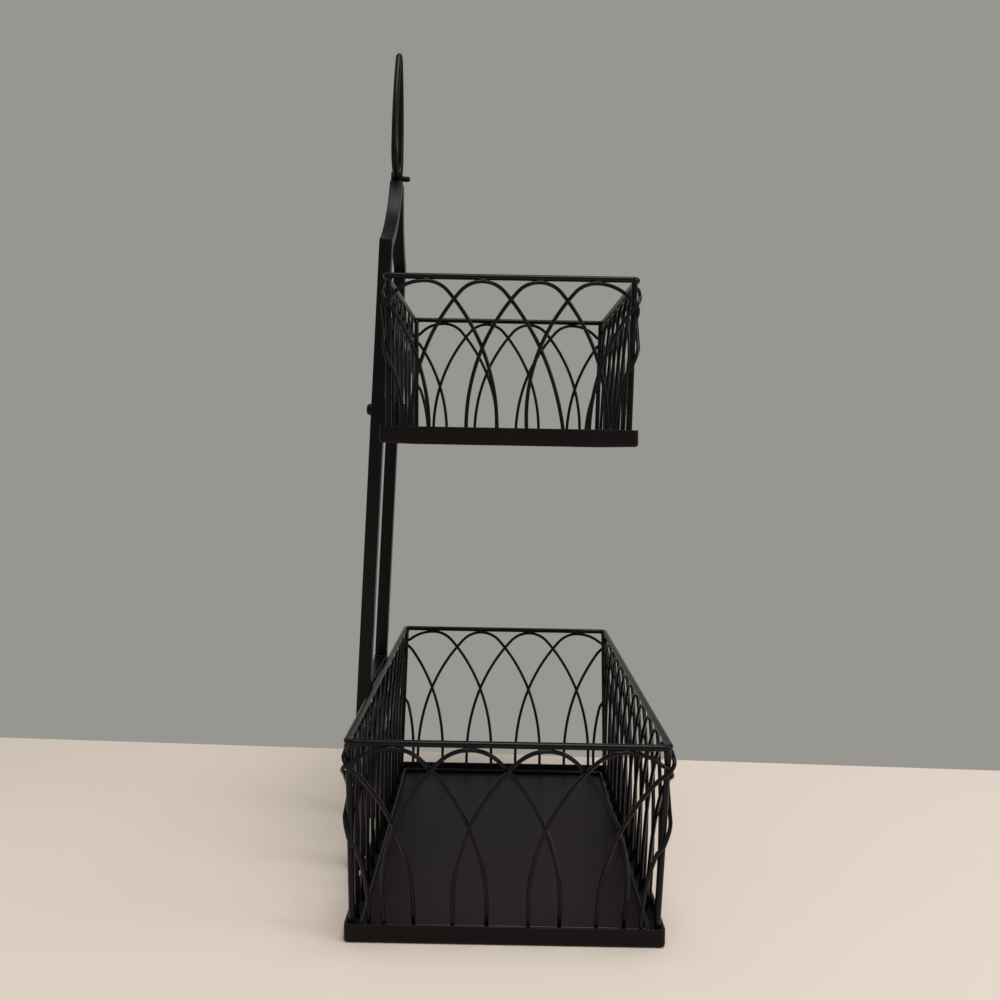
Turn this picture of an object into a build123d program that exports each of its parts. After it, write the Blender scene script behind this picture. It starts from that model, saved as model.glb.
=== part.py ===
from build123d import *
import math
import os

# Free-standing two-tier wire basket stand.
# Millimetres, Z up, X along the baskets, the front of the stand faces -Y.
# The model is laid out about the middle of the lower basket and moved over
# its own footprint just before the pieces are written.

# Square bar of the standing frame.
bar_side = 9.0
upright_spacing = 107.0
frame_gap = 4.3
rim_frame_clearance = 1.0
lean_angle = 1.65
kink_height = 487.0
shoulder_rise = 62.0
neck_height = kink_height + shoulder_rise
shoulder_start_angle = 28.4
cross_bar_top = 142.5
foot_allowance = 4.0
cutting_allowance = 12.0

# Collar at the neck, the handle loop that passes through it and the peg in front.
collar_width = 10.0
collar_height = 8.0
loop_rod = 4.4
loop_bottom_straight = 6.0
loop_lower_radius = 24.0
loop_upper_radius = 140.0
loop_tip_radius = 5.0
loop_clearance = 0.15
peg_diameter = 4.6
peg_length = 6.5
peg_chamfer = 1.0

# Screws that hold the baskets to the uprights.
screw_diameter = 5.0
screw_clearance = 0.4
thread_clearance = 0.1
screw_head_diameter = 9.2
screw_head_height = 3.8
screw_head_chamfer = 1.1
screw_socket_width = 3.0
screw_socket_depth = 2.0
screw_end_cover = 1.0
screw_above_band = 13.6

# Lugs between the back of each basket and the uprights.
lug_width = 14.0
lug_height = 23.5
lug_seat = 0.9
lug_clearance = 0.1

# Rods and sheet shared by both baskets.
rim_rod = 4.4
rim_corner_radius = 8.0
wire_diameter = 2.8
layer_spacing = 2.87
wall_outset = 0.9
fold_length = 1.2
least_run_length = 3.0
apex_seat = 0.2
post_diameter = 4.2
post_clearance = 0.1
post_seat = 0.3
post_foot_seat = 0.15
band_thickness = 1.8
band_corner_radius = 3.0
band_height = 12.0
foot_seat = 0.03
floor_rise = 4.5
floor_thickness = 1.0
ring_rod = 3.5
ring_clearance = 0.05

# Lower basket.
lower_rim_length = 399.0
lower_rim_width = 210.0
lower_rim_height = 140.4
lower_band_length = 338.0
lower_band_width = 213.0
lower_end_pitch = 49.5
lower_apex_radius = 26.0
lower_leg_radius = 154.0
lower_apex_angle = 46.0
lower_corner_stretch_share = 1.25

# Upper basket.
upper_rim_length = 247.0
upper_rim_width = 185.0
upper_rim_height = 450.2
upper_band_length = 247.0
upper_band_width = 185.0
upper_band_bottom = 330.7
upper_frame_gap = 5.7
upper_end_pitch = 40.8
upper_apex_radius = 21.0
upper_leg_radius = 148.0
upper_apex_angle = 49.0
upper_corner_stretch_share = 1.3

# Distance from the last apex on each long wall to the corner of the basket.
corner_arch_distance = 30.0

# The flat frame stands behind the lower band, leans forward over it and clears both rims.
lean = math.radians(lean_angle)
band_setback = lower_band_width / 2 + frame_gap
rim_setback = lower_rim_width / 2 + rim_frame_clearance + lower_rim_height * math.tan(lean)
frame_setback = max(band_setback, rim_setback)
upper_band_top = upper_band_bottom + band_height
band_back = frame_setback - upper_band_top * math.tan(lean) - upper_frame_gap
rim_back = frame_setback - upper_rim_height * math.tan(lean) - rim_frame_clearance
upper_centre_y = min(band_back - upper_band_width / 2, rim_back - upper_rim_width / 2)

# Facet counts of the rods that are laid out stretch by stretch.
wire_sides = 6
ring_sides = 12
head_sides = 16
rim_corner_stretches = 4
apex_stretches = 5
leg_stretches = 4
loop_lower_stretches = 5
loop_upper_stretches = 5
loop_tip_stretches = 4


class Basket:
    """Sizes of one basket: rim, band, arches and where it stands."""

    def __init__(self, name, rim_length, rim_width, band_length, band_width, band_bottom,
                 rim_height, centre_y, long_arches, end_arches, end_pitch, apex_radius,
                 apex_angle, leg_radius, corner_stretch_share):
        self.name = name
        self.band_length = band_length
        self.band_width = band_width
        self.band_bottom = band_bottom
        self.band_top = band_bottom + band_height
        self.rim_height = rim_height
        self.centre_y = centre_y
        self.rim_half_x = (rim_length - rim_rod) / 2
        self.rim_half_y = (rim_width - rim_rod) / 2
        self.floor_top = band_bottom + floor_rise + floor_thickness
        self.long_arches = long_arches
        self.end_arches = end_arches
        self.end_pitch = end_pitch
        self.apex_radius = apex_radius
        self.apex_angle = math.radians(apex_angle)
        self.leg_radius = leg_radius
        self.corner_stretch_share = corner_stretch_share
        # Middle surface of the woven wall under the rim and at the top of the band.
        self.top_half_x = self.rim_half_x + wall_outset
        self.top_half_y = self.rim_half_y + wall_outset
        corner_radius = wire_diameter / 2 / math.cos(math.pi / wire_sides)
        rim_drop = math.sqrt((rim_rod / 2) ** 2 - wall_outset ** 2)
        self.apex_height = rim_height - rim_drop + apex_seat - corner_radius
        wall_inset = band_thickness + layer_spacing / 2 + wire_diameter / 2 - foot_seat
        self.base_half_x = band_length / 2 - wall_inset
        self.base_half_y = band_width / 2 - wall_inset
        # Three-centred pointed arch: half span and rise worked out from its radii.
        sine = math.sin(self.apex_angle)
        cosine = math.cos(self.apex_angle)
        self.leg_centre = (apex_radius - leg_radius) * sine
        self.half_span = self.leg_centre + leg_radius
        self.arch_rise = apex_radius * (1 - cosine) + leg_radius * cosine

    def half_sizes(self, height):
        """Half length and half width of the wall's middle surface at a height."""
        share = (height - self.band_top) / (self.apex_height - self.band_top)
        half_x = self.base_half_x + (self.top_half_x - self.base_half_x) * share
        half_y = self.base_half_y + (self.top_half_y - self.base_half_y) * share
        return half_x, half_y


lower = Basket(
    name="lower", rim_length=lower_rim_length, rim_width=lower_rim_width,
    band_length=lower_band_length, band_width=lower_band_width, band_bottom=0,
    rim_height=lower_rim_height, centre_y=0, long_arches=8, end_arches=4,
    end_pitch=lower_end_pitch, apex_radius=lower_apex_radius,
    apex_angle=lower_apex_angle, leg_radius=lower_leg_radius,
    corner_stretch_share=lower_corner_stretch_share)
upper = Basket(
    name="upper", rim_length=upper_rim_length, rim_width=upper_rim_width,
    band_length=upper_band_length, band_width=upper_band_width, band_bottom=upper_band_bottom,
    rim_height=upper_rim_height, centre_y=upper_centre_y, long_arches=6, end_arches=4,
    end_pitch=upper_end_pitch, apex_radius=upper_apex_radius,
    apex_angle=upper_apex_angle, leg_radius=upper_leg_radius,
    corner_stretch_share=upper_corner_stretch_share)

# The four walls of a basket in the order met when walking round it with the
# wall on the left hand: outward direction, and rightwards as seen from outside.
side_names = ["front", "right_end", "back", "left_end"]
side_outward = [Vector(0, -1, 0), Vector(1, 0, 0), Vector(0, 1, 0), Vector(-1, 0, 0)]
side_rightward = [Vector(1, 0, 0), Vector(0, 1, 0), Vector(-1, 0, 0), Vector(0, -1, 0)]

pieces = {}


def slide(corners, direction, origin, normal):
    """Slide section corners along the rod until they meet a cutting plane."""
    return [corner + direction * ((origin - corner).dot(normal) / direction.dot(normal))
            for corner in corners]


def mitred_rod(points, diameter, sides, facing, end_normal=None):
    """Rod of even section through points, mitred at each; closed without an end normal."""
    closed = end_normal is None
    count = len(points)
    stretch_count = count if closed else count - 1
    directions = [(points[(i + 1) % count] - points[i]).normalized()
                  for i in range(stretch_count)]
    first = directions[0]
    outward = (facing - first * facing.dot(first)).normalized()
    across = first.cross(outward)
    corner_radius = diameter / 2 / math.cos(math.pi / sides)
    step = 2 * math.pi / sides
    corners = [points[0] + outward * (corner_radius * math.cos((i + 0.5) * step))
               + across * (corner_radius * math.sin((i + 0.5) * step)) for i in range(sides)]
    start_normal = (directions[-1] + first).normalized() if closed else end_normal
    rings = [slide(corners, first, points[0], start_normal)]
    for i in range(1, stretch_count):
        bisector = (directions[i - 1] + directions[i]).normalized()
        rings.append(slide(rings[-1], directions[i - 1], points[i], bisector))
    if closed:
        rings.append(rings[0])
    else:
        rings.append(slide(rings[-1], directions[-1], points[-1], end_normal))
    faces = []
    for near, far in zip(rings[:-1], rings[1:]):
        for i in range(sides):
            j = (i + 1) % sides
            faces.append(Face(Wire.make_polygon([near[i], near[j], far[j], far[i]])))
    if not closed:
        faces.append(Face(Wire.make_polygon(rings[0])))
        faces.append(Face(Wire.make_polygon(rings[-1])))
    return Solid(Shell(faces))


def arch_drop(basket, distance):
    """Depth of the arch line below its apex at a distance to the side of it."""
    if distance < basket.apex_radius * math.sin(basket.apex_angle):
        return basket.apex_radius - math.sqrt(basket.apex_radius ** 2 - distance ** 2)
    reach = min(distance - basket.leg_centre, basket.leg_radius)
    return basket.arch_rise - math.sqrt(basket.leg_radius ** 2 - reach ** 2)


def arch_stations(basket):
    """Distances from the apex at which one leg of an arch changes direction."""
    half_step = basket.apex_angle / apex_stretches
    angles = [half_step * (2 * i + 1) for i in range((apex_stretches + 1) // 2)]
    stations = [basket.apex_radius * math.sin(angle) for angle in angles]
    leg_step = (math.pi / 2 - basket.apex_angle) / leg_stretches
    for i in range(1, leg_stretches + 1):
        angle = basket.apex_angle + leg_step * i
        stations.append(basket.leg_centre + basket.leg_radius * math.sin(angle))
    return stations


def wall_point(basket, side, share, beyond, height, outward):
    """Point on a wall: share of its half length, length beyond, height and layer offset."""
    half_x, half_y = basket.half_sizes(height)
    half_along, half_out = (half_x, half_y) if side % 2 == 0 else (half_y, half_x)
    point = side_outward[side] * (half_out + outward)
    point = point + side_rightward[side] * (share * half_along + beyond)
    return point + Vector(0, basket.centre_y, height)


def leg_points(basket, side, centre, hand):
    """Points of one leg, apex to foot; hand is 1 for the right leg and -1 for the left."""
    half_along = basket.top_half_x if side % 2 == 0 else basket.top_half_y
    corner_distance = half_along - centre * hand
    wraps = basket.half_span > corner_distance
    stretch = basket.corner_stretch_share if wraps else 1.0
    next_side = (side + hand) % len(side_names)
    next_half = basket.top_half_y if side % 2 == 0 else basket.top_half_x
    points = []
    folded = False
    for station in arch_stations(basket):
        distance = station * stretch
        layer = -hand * layer_spacing / 2 * min(distance / (basket.end_pitch / 2), 1.0)
        height = basket.apex_height - arch_drop(basket, station)
        if wraps and not folded and distance > corner_distance - fold_length - least_run_length:
            corner_drop = arch_drop(basket, corner_distance / stretch)
            corner_height = basket.apex_height - corner_drop
            beyond = hand * (layer - fold_length)
            points.append(wall_point(basket, side, hand, beyond, corner_height, layer))
            points.append(wall_point(basket, next_side, -hand, -beyond, corner_height, layer))
            folded = True
        if not folded:
            share = (centre + hand * distance) / half_along
            points.append(wall_point(basket, side, share, 0, height, layer))
        elif distance > corner_distance + fold_length + least_run_length:
            share = hand * (distance - corner_distance - next_half) / next_half
            points.append(wall_point(basket, next_side, share, 0, height, layer))
    foot_side = next_side if folded else side
    foot_layer = -hand * layer_spacing / 2
    points.append(wall_point(basket, foot_side, share, 0, basket.floor_top, foot_layer))
    return points


def arch(basket, side, centre):
    """One bent wire with both feet on the floor sheet."""
    left_leg = leg_points(basket, side, centre, -1)
    right_leg = leg_points(basket, side, centre, 1)
    points = list(reversed(left_leg)) + right_leg
    half_along = basket.top_half_x if side % 2 == 0 else basket.top_half_y
    left_leg_wraps = basket.half_span > half_along + centre
    first_side = (side - 1) % len(side_names) if left_leg_wraps else side
    return mitred_rod(points, wire_diameter, wire_sides, side_outward[first_side], Vector(0, 0, 1))


def arch_centres(basket, side):
    """Places of the apexes along a wall, measured from the middle of the wall."""
    if side % 2 == 1:
        count = basket.end_arches
        pitch = basket.end_pitch
    else:
        count = basket.long_arches
        pitch = 2 * (basket.top_half_x - corner_arch_distance) / (count - 1)
    return [(i - (count - 1) / 2) * pitch for i in range(count)]


def arc_points(centre, radius, start_angle, end_angle, stretches, upright=True):
    """Points on an arc, both ends included, in an upright or a level plane."""
    rise = Vector(0, 0, 1) if upright else Vector(0, 1, 0)
    points = []
    for i in range(stretches + 1):
        angle = start_angle + (end_angle - start_angle) * i / stretches
        reach = Vector(1, 0, 0) * math.cos(angle) + rise * math.sin(angle)
        points.append(centre + reach * radius)
    return points


def make_rim(basket):
    """Rim: one round rod bent into a rounded rectangle."""
    inner_x = basket.rim_half_x - rim_corner_radius
    inner_y = basket.rim_half_y - rim_corner_radius
    points = []
    for quarter, (sx, sy) in enumerate(((1, 1), (-1, 1), (-1, -1), (1, -1))):
        start_angle = quarter * math.pi / 2
        points += arc_points(Vector(sx * inner_x, sy * inner_y, 0), rim_corner_radius,
                             start_angle, start_angle + math.pi / 2, rim_corner_stretches,
                             upright=False)
    rim = mitred_rod(points, rim_rod, ring_sides, Vector(0, 0, 1))
    return Pos(0, basket.centre_y, basket.rim_height) * rim


def make_band(basket):
    """Band: flat strip on edge, bent round the foot of the basket."""
    outer = RectangleRounded(basket.band_length, basket.band_width, band_corner_radius)
    inner = RectangleRounded(basket.band_length - 2 * band_thickness,
                             basket.band_width - 2 * band_thickness,
                             band_corner_radius - band_thickness)
    band = extrude(outer - inner, amount=band_height)
    return Pos(0, basket.centre_y, basket.band_bottom) * band


def make_floor(basket):
    """Floor: sheet that fills the band."""
    outline = RectangleRounded(basket.band_length - 2 * band_thickness,
                               basket.band_width - 2 * band_thickness,
                               band_corner_radius - band_thickness)
    sheet = extrude(outline, amount=floor_thickness)
    return Pos(0, basket.centre_y, basket.band_bottom + floor_rise) * sheet


def make_base_ring(basket):
    """Base ring: rod on the floor sheet just inside the feet of the wires."""
    height = basket.floor_top + ring_rod / 2 + ring_clearance
    inset = (layer_spacing + wire_diameter + ring_rod) / 2 + ring_clearance
    half_x, half_y = basket.half_sizes(height)
    half_x = half_x - inset
    half_y = half_y - inset
    points = [Vector(-half_x, -half_y, 0), Vector(half_x, -half_y, 0),
              Vector(half_x, half_y, 0), Vector(-half_x, half_y, 0)]
    ring = mitred_rod(points, ring_rod, ring_sides, Vector(0, 0, 1))
    return Pos(0, basket.centre_y, height) * ring


def make_post(basket, sx, sy):
    """Corner post: straight rod from the base ring to the underside of the rim."""
    inset = (layer_spacing + wire_diameter + post_diameter) / 2 + post_clearance
    ends = []
    foot_height = basket.floor_top + ring_rod + ring_clearance - post_foot_seat
    top_height = basket.rim_height - rim_rod / 2 + post_seat
    for height in (foot_height, top_height):
        half_x, half_y = basket.half_sizes(height)
        ends.append(Vector(sx * (half_x - inset), basket.centre_y + sy * (half_y - inset), height))
    axis = ends[1] - ends[0]
    post = extrude(RegularPolygon(post_diameter / 2, ring_sides), amount=axis.length)
    return Plane(origin=ends[0], z_dir=axis) * post


def leaned(shape):
    """Tip a piece of the flat frame forward and set it behind the baskets."""
    return Pos(0, frame_setback, 0) * Rot(lean_angle, 0, 0) * shape


def screw_height(basket):
    """Height of a basket's screws, measured along the uprights."""
    return basket.band_top + screw_above_band


def screw_bore(basket, sx, diameter, depth):
    """Round bore from behind the frame to a depth in front of its front face."""
    length = depth + bar_side + cutting_allowance
    bore = Rot(90, 0, 0) * Cylinder(diameter / 2, length,
                                    align=(Align.CENTER, Align.CENTER, Align.MIN))
    start_y = bar_side + cutting_allowance
    return leaned(Pos(sx * upright_spacing / 2, start_y, screw_height(basket)) * bore)


def wall_back(basket, height):
    """Where the back of the woven wall lets a lug begin, at a height."""
    half_x, half_y = basket.half_sizes(height)
    return basket.centre_y + half_y + (layer_spacing + wire_diameter) / 2 + lug_clearance


def lug_inner(basket, height):
    """Inner face of a lug: seated on the band, or further back where the wall flares."""
    seat = basket.centre_y + basket.band_width / 2 - lug_seat
    return max(seat, wall_back(basket, height))


def lug_depth(basket):
    """Depth of a lug at the height of its screw."""
    front_y = frame_setback - screw_height(basket) * math.sin(lean)
    return front_y - lug_inner(basket, screw_height(basket))


def make_lug(basket, sx):
    """Lug: block that stands on the band and takes the screw from the upright."""
    inner_y = basket.centre_y + basket.band_width / 2 - lug_seat
    deep = frame_setback - inner_y
    block = Box(lug_width, deep, lug_height, align=(Align.CENTER, Align.MIN, Align.MIN))
    block = Pos(sx * upright_spacing / 2, inner_y, basket.band_top) * block
    front_face = Plane(origin=(0, frame_setback, 0),
                       z_dir=(0, -math.cos(lean), -math.sin(lean)))
    block = split(block, bisect_by=front_face, keep=Keep.TOP)
    lug_top = basket.band_top + lug_height
    wall_foot = wall_back(basket, basket.band_top)
    wall_top = wall_back(basket, lug_top)
    if max(wall_foot, wall_top) > inner_y:
        wall_face = Plane(origin=(0, wall_foot, basket.band_top),
                          z_dir=(0, lug_height, wall_foot - wall_top))
        block = split(block, bisect_by=wall_face, keep=Keep.TOP)
    depth = lug_depth(basket) - screw_end_cover
    return block - screw_bore(basket, sx, screw_diameter + thread_clearance, depth)


def make_screw(basket, sx):
    """Button-headed screw with a hexagon socket, seated on the back of an upright."""
    length = bar_side + lug_depth(basket) - 2 * screw_end_cover
    shank = extrude(RegularPolygon(screw_diameter / 2, ring_sides), amount=-length)
    head = extrude(RegularPolygon(screw_head_diameter / 2, head_sides), amount=screw_head_height)
    head = chamfer(head.edges().group_by(Axis.Z)[-1], length=screw_head_chamfer)
    socket_radius = screw_socket_width / 2 / math.cos(math.pi / 6)
    socket = extrude(RegularPolygon(socket_radius, 6), amount=screw_socket_depth)
    socket = Pos(0, 0, screw_head_height - screw_socket_depth) * socket
    screw = shank + head - socket
    screw = Pos(sx * upright_spacing / 2, bar_side, screw_height(basket)) * Rot(-90, 0, 0) * screw
    return leaned(screw)


def mitre_plane():
    """Plane of the joint between the right upright and its shoulder."""
    angle = math.radians(shoulder_start_angle)
    normal = Vector(-math.cos(angle), 0, 1 + math.sin(angle))
    return Plane(origin=(upright_spacing / 2, bar_side / 2, kink_height), z_dir=normal)


def make_right_upright():
    """Right upright: square bar, foot cut level with the table."""
    length = foot_allowance + kink_height + cutting_allowance
    bar = Box(bar_side, bar_side, length, align=(Align.CENTER, Align.MIN, Align.MIN))
    bar = Pos(upright_spacing / 2, 0, -foot_allowance) * bar
    bar = leaned(split(bar, bisect_by=mitre_plane(), keep=Keep.BOTTOM))
    bar = split(bar, bisect_by=Plane.XY, keep=Keep.TOP)
    for basket in (lower, upper):
        bar = bar - screw_bore(basket, 1, screw_diameter + screw_clearance, 0)
    return bar


def make_right_shoulder():
    """Right shoulder: the same bar swept in towards the neck in one hollow curve."""
    start = Vector(upright_spacing / 2, bar_side / 2, kink_height)
    end = Vector(bar_side / 2, bar_side / 2, neck_height)
    chord = end - start
    chord_angle = math.atan2(chord.Z, -chord.X)
    start_angle = math.radians(shoulder_start_angle)
    turn = 2 * (chord_angle - start_angle)
    end_angle = start_angle + turn
    radius = chord.length / 2 / math.sin(turn / 2)
    sagitta = radius * (1 - math.cos(turn / 2))
    bulge = Vector(-math.sin(chord_angle), 0, -math.cos(chord_angle)) * sagitta
    middle = start + chord * 0.5 + bulge
    start_way = Vector(-math.cos(start_angle), 0, math.sin(start_angle))
    end_way = Vector(-math.cos(end_angle), 0, math.sin(end_angle))
    path = Wire([
        Line(start - start_way * cutting_allowance, start),
        ThreePointArc(start, middle, end),
        Line(end, end + end_way * cutting_allowance),
    ])
    section = Plane(origin=path @ 0, x_dir=(0, 1, 0), z_dir=start_way)
    bar = sweep(section * Rectangle(bar_side, bar_side), path=path)
    bar = split(bar, bisect_by=mitre_plane(), keep=Keep.TOP)
    bar = split(bar, bisect_by=Plane(origin=end, z_dir=(0, 0, 1)), keep=Keep.BOTTOM)
    bar = split(bar, bisect_by=Plane.YZ, keep=Keep.TOP)
    return leaned(bar)


def make_cross_bar():
    """Cross bar: square bar between the uprights behind the lower rim."""
    length = upright_spacing - bar_side
    bar = Box(length, bar_side, bar_side, align=(Align.CENTER, Align.MIN, Align.MAX))
    return leaned(Pos(0, 0, cross_bar_top) * bar)


def make_collar():
    """Collar: block on the neck with a cross bore for the handle loop."""
    block = Box(collar_width, bar_side, collar_height,
                align=(Align.CENTER, Align.CENTER, Align.MIN))
    bore = Rot(0, 90, 0) * Cylinder(loop_rod / 2 + loop_clearance, collar_width)
    block = block - Pos(0, 0, collar_height / 2) * bore
    return leaned(Pos(0, bar_side / 2, neck_height) * block)


def make_peg():
    """Peg: short round stud on the front of the collar."""
    peg = extrude(RegularPolygon(peg_diameter / 2, head_sides), amount=peg_length)
    peg = chamfer(peg.edges().group_by(Axis.Z)[-1], length=peg_chamfer)
    return leaned(Pos(0, 0, neck_height + collar_height / 2) * Rot(90, 0, 0) * peg)


def make_handle_loop():
    """Handle loop: closed pointed-leaf ring of round rod, upright in the collar."""
    lower_centre = Vector(loop_bottom_straight / 2, 0, loop_lower_radius)
    half_width = loop_bottom_straight / 2 + loop_lower_radius
    upper_centre = Vector(half_width - loop_upper_radius, 0, loop_lower_radius)
    # The small tip arc touches both upper arcs from inside, on the middle line.
    tip_reach = loop_upper_radius - loop_tip_radius
    tip_angle = math.acos(-upper_centre.X / tip_reach)
    tip_centre = Vector(0, 0, loop_lower_radius + tip_reach * math.sin(tip_angle))
    right = arc_points(lower_centre, loop_lower_radius, -math.pi / 2, 0, loop_lower_stretches)
    right = right + arc_points(upper_centre, loop_upper_radius, 0, tip_angle,
                               loop_upper_stretches)[1:]
    tip = arc_points(tip_centre, loop_tip_radius, tip_angle, math.pi - tip_angle,
                     loop_tip_stretches)[1:-1]
    left = [Vector(-point.X, 0, point.Z) for point in reversed(right)]
    ring = mitred_rod(right + tip + left, loop_rod, ring_sides, Vector(0, 1, 0))
    bore_height = neck_height + collar_height / 2
    bore_y = frame_setback + bar_side / 2 * math.cos(lean) - bore_height * math.sin(lean)
    bore_z = bar_side / 2 * math.sin(lean) + bore_height * math.cos(lean)
    return Pos(0, bore_y, bore_z) * ring


pieces["right_upright"] = make_right_upright()
pieces["left_upright"] = mirror(pieces["right_upright"], about=Plane.YZ)
pieces["right_shoulder"] = make_right_shoulder()
pieces["left_shoulder"] = mirror(pieces["right_shoulder"], about=Plane.YZ)
pieces["cross_bar"] = make_cross_bar()
pieces["loop_collar"] = make_collar()
pieces["collar_peg"] = make_peg()
pieces["handle_loop"] = make_handle_loop()

screws = []
for basket in (lower, upper):
    pieces[basket.name + "_rim"] = make_rim(basket)
    pieces[basket.name + "_band"] = make_band(basket)
    pieces[basket.name + "_floor"] = make_floor(basket)
    pieces[basket.name + "_base_ring"] = make_base_ring(basket)
    for depth_name, sy in (("front", -1), ("back", 1)):
        for hand_name, sx in (("left", -1), ("right", 1)):
            name = basket.name + "_post_" + depth_name + "_" + hand_name
            pieces[name] = make_post(basket, sx, sy)
    for hand_name, sx in (("left", -1), ("right", 1)):
        pieces[basket.name + "_lug_" + hand_name] = make_lug(basket, sx)
        screws.append(make_screw(basket, sx))
    for side, side_name in enumerate(side_names):
        arches = [arch(basket, side, centre) for centre in arch_centres(basket, side)]
        pieces[basket.name + "_arches_" + side_name] = Compound(arches)
pieces["basket_screws"] = Compound(screws)

# Move the stand so that the origin is under the middle of its footprint.
box = Compound(list(pieces.values())).bounding_box()
centring = Pos(-(box.min.X + box.max.X) / 2, -(box.min.Y + box.max.Y) / 2, -box.min.Z)
os.makedirs("parts", exist_ok=True)
for name, piece in pieces.items():
    export_step(centring * piece, "parts/" + name + ".step")
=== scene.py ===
import math

import bmesh
import bpy
from mathutils import Matrix, Vector


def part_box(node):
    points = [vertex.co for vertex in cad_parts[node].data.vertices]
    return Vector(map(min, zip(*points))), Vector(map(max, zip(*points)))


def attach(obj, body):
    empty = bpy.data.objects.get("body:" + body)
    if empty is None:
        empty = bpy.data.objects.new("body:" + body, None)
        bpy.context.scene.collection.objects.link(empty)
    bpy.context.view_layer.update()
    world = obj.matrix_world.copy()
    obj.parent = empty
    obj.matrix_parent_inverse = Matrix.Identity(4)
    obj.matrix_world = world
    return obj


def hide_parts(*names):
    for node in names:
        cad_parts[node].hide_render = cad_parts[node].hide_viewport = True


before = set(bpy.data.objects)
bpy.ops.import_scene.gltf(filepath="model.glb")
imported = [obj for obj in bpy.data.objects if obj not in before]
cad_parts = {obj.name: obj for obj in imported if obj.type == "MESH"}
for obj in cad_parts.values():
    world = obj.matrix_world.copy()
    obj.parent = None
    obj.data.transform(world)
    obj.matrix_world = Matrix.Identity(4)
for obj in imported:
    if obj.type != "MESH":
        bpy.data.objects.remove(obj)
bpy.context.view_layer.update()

bl_info = {
    "name": "Two-tier wire basket stand",
    "version": (1, 0, 0),
    "blender": (4, 5, 0),
    "location": "3D View > Sidebar > Basket stand",
    "description": "Round wires, welds, black paint and a plain studio for the basket stand",
    "category": "Add Mesh",
}

MM = 0.001
BODY = "root"
TIERS = ("lower", "upper")
SIDES = ("front", "right_end", "back", "left_end")
OUTWARD = (Vector((0, -1, 0)), Vector((1, 0, 0)), Vector((0, 1, 0)), Vector((-1, 0, 0)))
RIGHTWARD = OUTWARD[1:] + OUTWARD[:1]
UP = Vector((0, 0, 1))
LEFT_END = SIDES.index("left_end")
# How many millimetres wider, or below zero narrower, single hand-bent legs stand at their feet
# on the near end walls, by basket, wall, arch counted from the left and hand (1 for the right
# leg).
FOOT_SHIFTS = {
    ("lower", LEFT_END, 1, -1): -5.0,
    ("lower", LEFT_END, 2, -1): -2.0,
    ("lower", LEFT_END, 2, 1): -6.0,
    ("lower", LEFT_END, 3, -1): -3.5,
    ("upper", LEFT_END, 1, 1): 8.5,
    ("upper", LEFT_END, 3, -1): -4.0,
}
# How far the arches and the posts sink into the rim's underside.
ARCH_SINK = 0.15 * MM
POST_SINK = 0.6 * MM
# A post's foot stands on the base ring, this share of the ring's rod above the floor sheet.
POST_FOOT_SHARE = 0.8
# A wire reaches its own layer at this share of the pitch from its apex.
LAYER_SHARE = 0.44
# A wire keeps this share of its layer's offset where it passes round a corner post.
CORNER_LAYER_SHARE = 1 / 3
# A wire's points near a corner are left out this far beyond the bend round the post.
BEND_MARGIN = 1.5 * MM
# Stretches of an arch line in its top bend, in each leg and round a corner.
APEX_STEPS = 10
LEG_STEPS = 26
BEND_STEPS = 8
# Faces that meet at more than this stay sharp.
SHARP_ANGLE = math.radians(40)
# Corners of a CAD node's loose triangles that are closer than this are one.
MERGE_DISTANCE = 0.005 * MM
# A face belongs to the front of a bar when it looks forward by more than this, from 0 to 1.
FRONT_FACING = 0.9
# Going inward, a band's corner bend gets smaller by this share of the way.
BAND_BEND_SHARE = 0.7
# Half length and half width of a weld bead under the rims, at the posts and along the bars.
RIM_BEAD = (3.4 * MM, 1.25 * MM)
POST_BEAD = (1.7 * MM, 2.7 * MM)
BAR_BEAD = (0.9 * MM, 0.8 * MM)
# Height of the lumps on a bead, as a share of its half width.
LUMP_SHARE = 0.35
# A rim weld lies this share of the wire's rod above the wire's middle, and a post weld this
# far below the post's top.
RIM_WELD_SHARE = 0.35
POST_WELD_DROP = 0.8 * MM
# Spacing of the beads in a row, how far the rows end from the edges of the cross bar, and how
# far they lie in from the edges of the collar and above its underside.
BEAD_SPACING = 1.1 * MM
BAR_WELD_INSET = 1.0 * MM
COLLAR_WELD_INSET = 0.6 * MM
COLLAR_WELD_LIFT = 0.4 * MM
# The table in metres: how far behind the stand's middle it ends, the slope of that far edge,
# and how far it reaches to the other three sides.
TABLE_END = 0.237
TABLE_SKEW = 0.048
TABLE_REACH = 2.5
WARM_LIGHT = (1.0, 0.98, 0.96)
COOL_LIGHT = (0.97, 0.98, 1.0)


def mm_size(name, description, millimetres):
    """A length property, given in millimetres and kept in metres."""
    return bpy.props.FloatProperty(name=name, description=description,
                                   default=millimetres * MM, min=0.0, unit="LENGTH",
                                   precision=5)


def angle_prop(name, description, degrees):
    """An angle property, given in degrees and kept in radians."""
    return bpy.props.FloatProperty(name=name, description=description,
                                   default=math.radians(degrees), unit="ROTATION")


def colour_prop(name, description, default):
    """A colour property."""
    return bpy.props.FloatVectorProperty(name=name, description=description, default=default,
                                         min=0.0, max=1.0, size=3, subtype="COLOR")


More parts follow.
